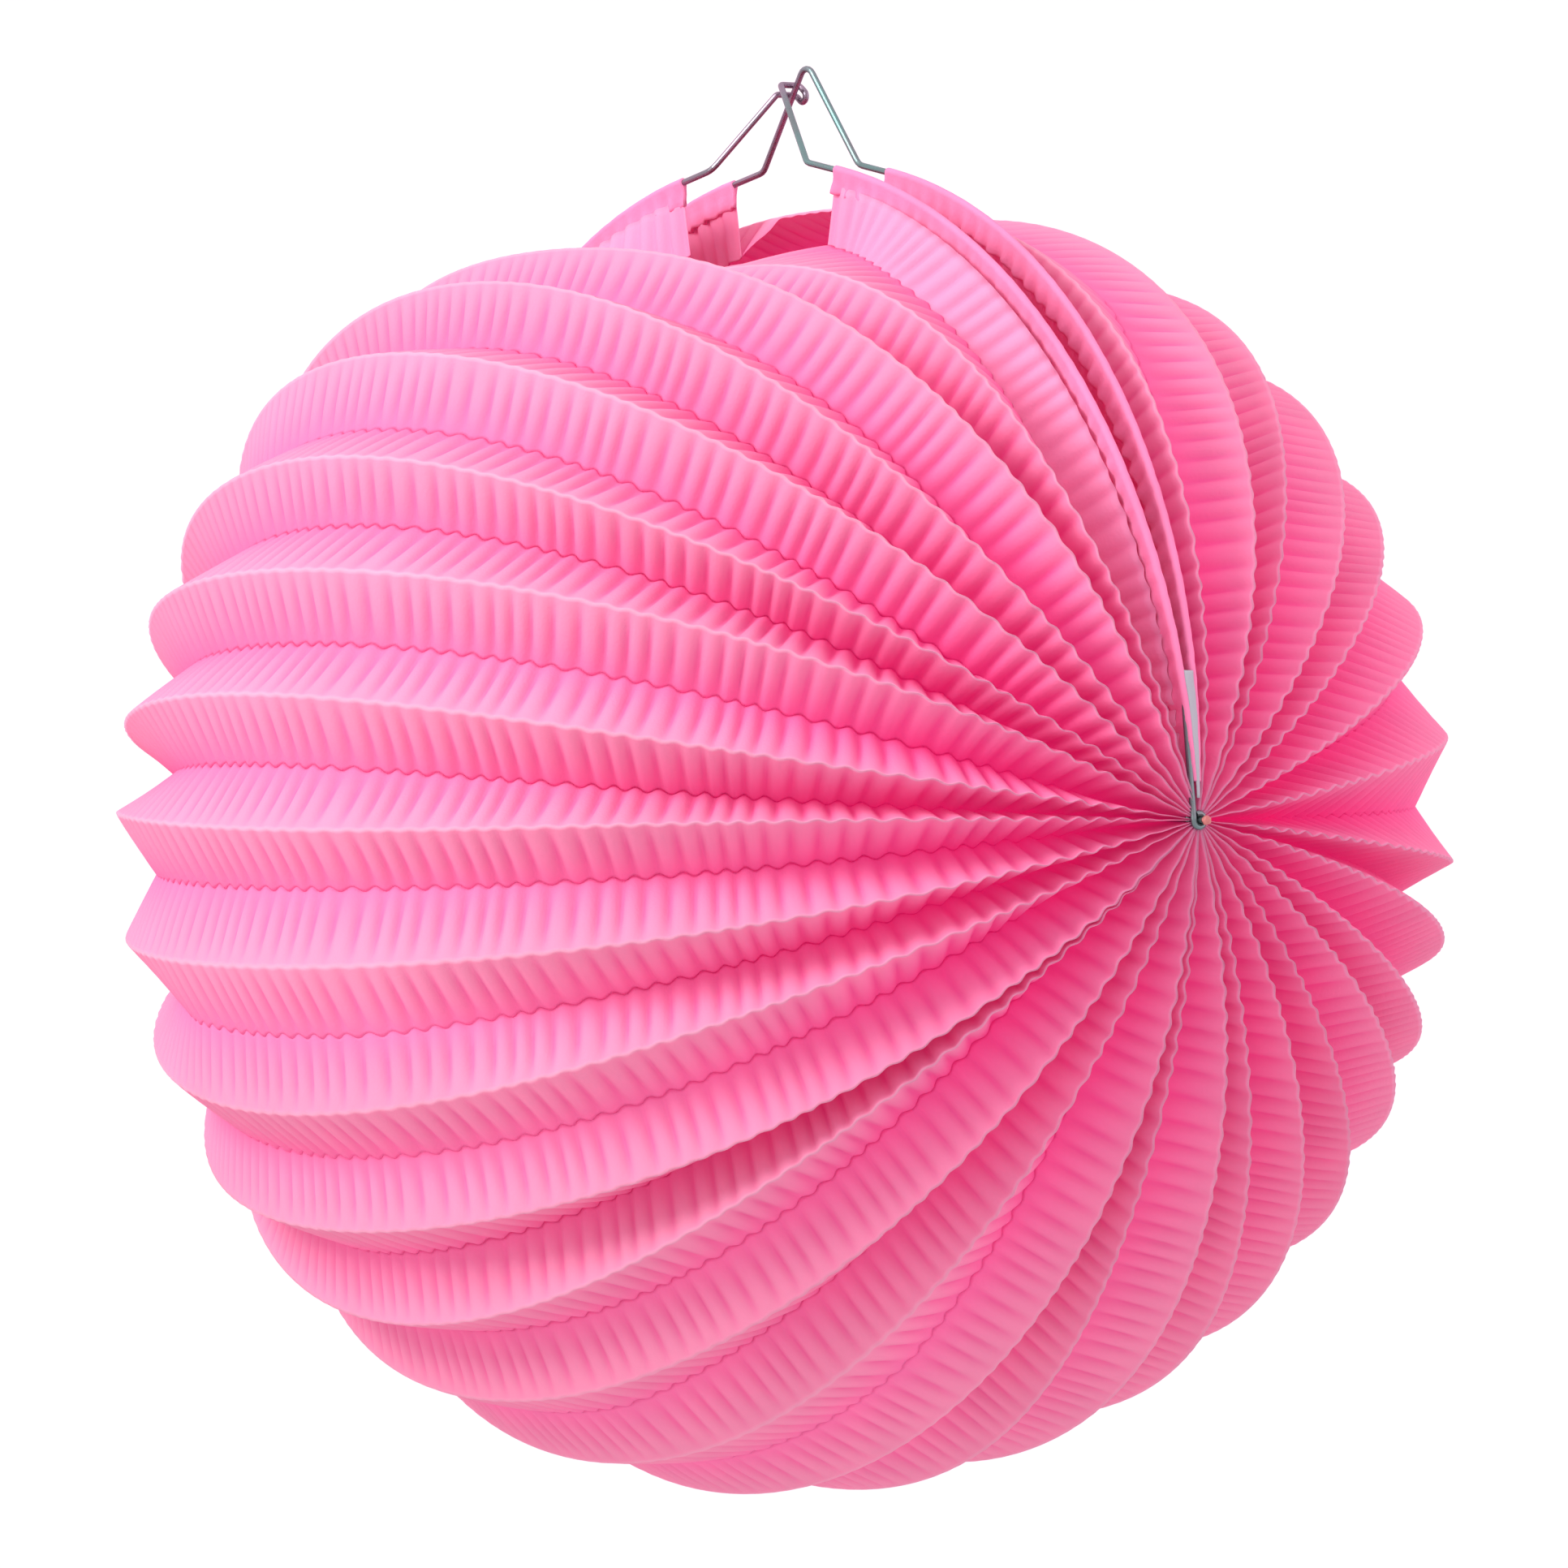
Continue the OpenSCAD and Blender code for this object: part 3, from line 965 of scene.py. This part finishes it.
def new_mesh(name: str, points: Sequence[Vector],
             faces: Sequence[Tuple[int, ...]]) -> bpy.types.Mesh:
    """Makes a mesh from its points and faces."""
    mesh = bpy.data.meshes.new(name)
    mesh.from_pydata([tuple(point) for point in points], [], faces)
    return mesh


def placed(mesh: bpy.types.Mesh, finish: bpy.types.Material) -> bpy.types.Object:
    """Puts a mesh in its finish into the scene, as an object of the same name."""
    mesh.materials.append(finish)
    piece = bpy.data.objects.new(mesh.name, mesh)
    bpy.context.scene.collection.objects.link(piece)
    return piece


def outward_faces(mesh: bpy.types.Mesh) -> None:
    """Turns a closed mesh's faces outwards and shades them smooth."""
    work = bmesh.new()
    work.from_mesh(mesh)
    bmesh.ops.recalc_face_normals(work, faces=work.faces)
    work.to_mesh(mesh)
    work.free()
    mesh.shade_smooth()


# --- the hems -----------------------------------------------------------------------------------


@dataclass
class Hems:
    """The paper turned in and glued over the bow wires.

    Attributes:
        sizes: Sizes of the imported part.
        width: Height of the glued band.
        wire_room: Radius of the paper round the wire.
        flat_half: Half thickness of the glued band.
        steps: Points along a hem.
        end_rho: Distance of a hem's lower end from the pole axis.
        crease: Height of the creases.
    """

    sizes: Measures
    width: float = 4.6 * MM
    wire_room: float = 0.8 * MM
    flat_half: float = 0.42 * MM
    steps: int = 520
    end_rho: float = 7.0 * MM
    crease: float = 0.4 * MM

    def section(self) -> List[Tuple[float, float]]:
        """Cross-section of the hem, as rises above the wire's middle and offsets beside it.

        Returns:
            A closed loop of points.
        """
        loop = []
        for step in range(9):
            turn = math.radians(-110 + 220 * step / 8)
            loop.append((self.wire_room * math.cos(turn), self.wire_room * math.sin(turn)))
        down = [(-0.3, 1.15), (-0.5, 1.0), (-0.7, 1.0), (-0.88, 1.05), (-1.0, 0.8)]
        loop += [(self.width * rise, self.flat_half * half) for rise, half in down]
        loop += [(self.width * rise, -self.flat_half * half) for rise, half in reversed(down)]
        return loop

    def make(self, finish: bpy.types.Material) -> None:
        """Builds the four hems.

        Args:
            finish: Their material.
        """
        last = self.sizes.pleats + 1
        for label, index, body in (("front", 0, "hook_bow"), ("rear", last, "eye_bow")):
            for pole in Pole:
                node = f"{label}_hem_{pole.name.lower()}"
                piece = self.band(f"creased_{node}", self.sizes.angle(index), pole, finish)
                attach(piece, body)
                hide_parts(node)
        LOG.info("4 hems")

    def band(self, name: str, angle: float, pole: Pole,
             finish: bpy.types.Material) -> bpy.types.Object:
        """Builds one hem.

        Args:
            name: Name of the piece.
            angle: Angle of its bow.
            pole: The pole it runs to.
            finish: Its material.

        Returns:
            The piece.
        """
        sizes, loop = self.sizes, self.section()
        start = math.asin(sizes.mouth_half / sizes.bow_r)
        stop = math.acos(self.end_rho / sizes.bow_r)
        about = Vector((0.0, -math.cos(angle), -math.sin(angle)))
        points, faces = [], []
        for step in range(self.steps + 1):
            turn = start + (stop - start) * step / self.steps
            middle = sizes.in_bow(angle, pole.value * sizes.bow_r * math.sin(turn),
                                  sizes.bow_r * math.cos(turn))
            outward = (middle - sizes.centre).normalized()
            slim = min(1.0, 0.72 + sizes.bow_r * math.cos(turn) / (150 * MM))
            for rise, half in loop:
                low = min(max(-rise / self.width, 0.0), 1.0)
                seat = Vector((turn * 42 * pole.value, rise * 380, angle * 3))
                fine = Vector((turn * 150 + rise * 260, rise * 900, angle * 5))
                shove = noise.noise(seat) * 0.9 + noise.noise(fine) * 0.55
                ripple = math.cos(turn * 168 + rise * 300) * (0.25 + low)
                lift = noise.noise(Vector((turn * 60, angle, pole.value))) * low
                point = middle + outward * (rise + self.crease * 1.2 * lift)
                push = self.crease * (0.25 + 0.75 * low) * (shove + ripple)
                points.append(point + about * (half * slim + push))
        ring = len(loop)
        for step in range(self.steps):
            for side in range(ring):
                a, b = step * ring + side, step * ring + (side + 1) % ring
                faces.append((a, b, b + ring, a + ring))
        faces.append(tuple(range(ring)))
        faces.append(tuple(range(self.steps * ring, (self.steps + 1) * ring)))
        mesh = new_mesh(name, points, faces)
        outward_faces(mesh)
        return placed(mesh, finish)


# --- small parts --------------------------------------------------------------------------------


@dataclass
class Fittings:
    """The wires and pins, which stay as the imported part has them.

    Attributes:
        steel: Their finish.
    """

    steel: bpy.types.Material

    def dress(self) -> None:
        """Gives each of them its finish."""
        for name, node in frame["nodes"].items():
            if "wire" in name or "pin" in name:
                node.data.materials.clear()
                node.data.materials.append(self.steel)
                LOG.info("%s in %s", name, self.steel.name)


@dataclass
class PoleTrim:
    """The blank paper strip and the drop of glue at each pole.

    Attributes:
        sizes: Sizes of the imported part.
        white: Finish of the strip.
        glue: Finish of the glue.
        strip_top: Distance of the strip's cut end from the pole axis.
        strip_low: Distance of its lower end from the pole axis.
        strip_wide: Half width at the cut end.
        strip_narrow: Half width at the lower end.
        drop_r: Radius of the glue drop.
    """

    sizes: Measures
    white: bpy.types.Material
    glue: bpy.types.Material
    strip_top: float = 27.0 * MM
    strip_low: float = 4.0 * MM
    strip_wide: float = 1.15 * MM
    strip_narrow: float = 0.35 * MM
    drop_r: float = 0.85 * MM

    def make(self) -> None:
        """Builds both at each pole."""
        for pole in Pole:
            side = pole.name.lower()
            for piece, node, slot in (
                    (self.strip(pole), f"reinforcement_strip_{side}", "white_paper"),
                    (self.drop(pole), f"pole_glue_dot_{side}", "glue")):
                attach(piece, "eye_bow")
                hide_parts(node)
        LOG.info("strips and glue drops at both poles")

    def strip(self, pole: Pole) -> bpy.types.Object:
        """Builds the strip that lies over the gap between the two hems.

        Args:
            pole: Its pole.

        Returns:
            The strip, a little buckled, with its thickness as a live modifier.
        """
        rows, columns, radius = 40, 6, self.sizes.bow_r + 0.95 * MM
        points, faces = [], []
        for row in range(rows + 1):
            share = row / rows
            rho = self.strip_low + (self.strip_top - self.strip_low) * share
            wide = self.strip_narrow + (self.strip_wide - self.strip_narrow) * share
            for column in range(columns + 1):
                across = 2 * column / columns - 1
                buckle = 0.12 * MM * noise.noise(Vector((share * 7, across, pole.value * 3.0)))
                level = radius - 0.25 * MM * across * across + buckle
                x = pole.value * math.sqrt(level * level - rho * rho)
                points.append(self.sizes.centre + Vector((x, across * wide, rho)))
        for row in range(rows):
            for column in range(columns):
                a = row * (columns + 1) + column
                faces.append((a, a + 1, a + columns + 2, a + columns + 1))
        mesh = new_mesh(f"paper_strip_{pole.name.lower()}", points, faces)
        mesh.shade_smooth()
        piece = placed(mesh, self.white)
        thick = piece.modifiers.new("paper thickness", "SOLIDIFY")
        thick.thickness = 0.14 * MM
        return piece

    def drop(self, pole: Pole) -> bpy.types.Object:
        """Builds the lopsided drop of glue beside the pin's end.

        Args:
            pole: Its pole.

        Returns:
            The drop.
        """
        low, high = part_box(f"pole_glue_dot_{pole.name.lower()}")
        middle = (low + high) / 2
        middle.y += 0.55 * MM
        middle.x -= pole.value * 0.35 * MM
        rings, turns, points, faces = 14, 24, [], []
        for ring in range(rings + 1):
            lift = math.pi * ring / rings
            count = 1 if ring in (0, rings) else turns
            for step in range(count):
                turn = 2 * math.pi * step / turns
                way = Vector((math.cos(lift) * pole.value, math.sin(lift) * math.cos(turn),
                              math.sin(lift) * math.sin(turn)))
                swell = 1.0 + 0.22 * noise.noise(way * 1.7)
                points.append(middle + way * self.drop_r * swell)
        for step in range(turns):
            after = (step + 1) % turns
            faces.append((0, 1 + step, 1 + after))
            bottom = 1 + (rings - 2) * turns
            faces.append((bottom + after, bottom + step, len(points) - 1))
            for ring in range(rings - 2):
                a = 1 + ring * turns
                faces.append((a + step, a + turns + step, a + turns + after, a + after))
        mesh = new_mesh(f"glue_drop_{pole.name.lower()}", points, faces)
        outward_faces(mesh)
        return placed(mesh, self.glue)


# --- studio -------------------------------------------------------------------------------------


@dataclass
class Studio:
    """Camera, floor and soft light.

    Attributes:
        centre: What the camera and lights turn about.
        azimuth: Camera's place round the lantern in degrees.
        elevation: Camera's height in degrees.
        distance: Camera's distance.
        lens: Focal length in millimetres on a 36 mm sensor.
        rise: How far above the ball's middle the camera aims.
        aside: How far to the right of the ball's middle it aims.
        floor_half: Half width of the floor.
        floor_drop: How far below the ball's middle the floor lies.
    """

    centre: Vector
    azimuth: float = 53.5
    elevation: float = -0.67
    distance: float = 2.5
    lens: float = 306.7
    rise: float = 8.0 * MM
    aside: float = -0.2 * MM
    floor_half: float = 6.0
    floor_drop: float = 0.8

    def directions(self) -> Tuple[Vector, Vector, Vector]:
        """Unit vectors back to the camera, to its right and up."""
        turn, lift = math.radians(self.azimuth), math.radians(self.elevation)
        level = math.cos(lift)
        back = Vector((math.sin(turn) * level, -math.cos(turn) * level, math.sin(lift)))
        right = Vector((math.cos(turn), math.sin(turn), 0.0))
        return back, right, back.cross(right)

    def make(self) -> None:
        """Builds the camera, the floor and the lights."""
        back, right, up = self.directions()
        view = bpy.data.cameras.new("camera")
        view.lens, view.sensor_width = self.lens, 36.0
        view.clip_start, view.clip_end = 0.01, 100.0
        place, aim = back * self.distance, up * self.rise + right * self.aside
        bpy.context.scene.camera = self.aimed(view, place, aim)
        self.floor()
        self.light("key softbox", back * 0.7 - right * 1.15 + up * 0.8, 0.7, 23.0,
                   (0.87, 1.0, 0.93))
        self.light("top softbox", back * 0.1 + up * 1.5 + right * 0.2, 1.2, 2.0, (0.97, 0.98, 1.0))
        self.light("right fill", back * 0.2 + right * 1.5 + up * 0.3, 1.2, 5.0, (1.0, 0.75, 0.9))
        world = bpy.data.worlds.new("studio")
        world.use_nodes = True
        sky = world.node_tree.nodes["Background"]
        sky.inputs["Color"].default_value = (1, 0.88, 0.94, 1)
        sky.inputs["Strength"].default_value = 1.15
        bpy.context.scene.world = world
        bpy.context.scene.view_settings.view_transform = "Standard"

    def aimed(self, data: bpy.types.ID, place: Vector, aim: Vector) -> bpy.types.Object:
        """Puts a camera or a light into the scene.

        Args:
            data: The camera or the light.
            place: Its place from the centre.
            aim: What it looks at, from the centre.

        Returns:
            Its object.
        """
        holder = bpy.data.objects.new(data.name, data)
        holder.location = self.centre + place
        holder.rotation_mode = "QUATERNION"
        holder.rotation_quaternion = (aim - place).to_track_quat("-Z", "Y")
        bpy.context.scene.collection.objects.link(holder)
        return holder

    def light(self, name: str, offset: Vector, size: float, power: float, tint: Triple) -> None:
        """Adds one soft light that looks at the centre.

        Args:
            name: Name of the light.
            offset: Its place from the centre.
            size: Side of the square light.
            power: Power in watts.
            tint: Its colour.
        """
        lamp = bpy.data.lights.new(name, "AREA")
        lamp.size, lamp.energy, lamp.color = size, power, tint
        self.aimed(lamp, offset, Vector())

    def floor(self) -> None:
        """Adds the pale floor far below the hanging lantern."""
        half, low = self.floor_half, self.centre.z - self.floor_drop
        corners = [(x * half, y * half, low) for x, y in ((-1, -1), (1, -1), (1, 1), (-1, 1))]
        pale = new_material("pale floor")
        shader = pale.node_tree.nodes["Principled BSDF"]
        shader.inputs["Base Color"].default_value = (0.7, 0.7, 0.7, 1)
        shader.inputs["Roughness"].default_value = 0.9
        placed(new_mesh("floor", corners, [(0, 1, 2, 3)]), pale)


def main() -> None:
    """Builds the lantern's looks and its studio, and logs its sizes."""
    logging.basicConfig(level=logging.INFO, format="%(name)s: %(message)s")
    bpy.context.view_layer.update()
    sizes = measure()
    LOG.info("ball radius %.4f, tilt %.2f degrees, mouth half %.4f, bow radius %.4f",
             sizes.ball_r, math.degrees(sizes.tilt), sizes.mouth_half, sizes.bow_r)
    Studio(sizes.centre).make()
    fibre = paper_fibre_group()
    # pale is the painted highlight along the ridges; deep is the colour where pink light is thrown
    # between the leaves, and the painted shade in the crimps' grooves.
    deep, pale = (0.95, 0.08, 0.44), (0.98, 0.58, 0.74)
    pink = Paper("crimped pink paper", (0.96, 0.39, 0.6), pale, deep, glow=0.4, ember=0.2)
    flap = Paper("single pink paper", (0.96, 0.37, 0.6), pale, deep, glow=0.3)
    hem = Paper("glued hem paper", (0.92, 0.25, 0.47), pale, deep, mottle=0.3, glow=0.12)
    # Painted shade: the strip is white paper, given a grey base colour for the shade it lies in at
    # the pole.
    strip_shade_grey = (0.45, 0.45, 0.5)
    white = Paper("white strip paper", strip_shade_grey, (0.5, 0.5, 0.55), strip_shade_grey, glow=0.1)
    steel, glue = DrawnSteel().make(), SetGlue().make()
    Fittings(steel).dress()
    PoleTrim(sizes, white.make(fibre), glue).make()
    Bellows(sizes).make(pink.make(fibre), flap.make(fibre))
    Hems(sizes).make(hem.make(fibre))


if __name__ == "__main__":
    main()
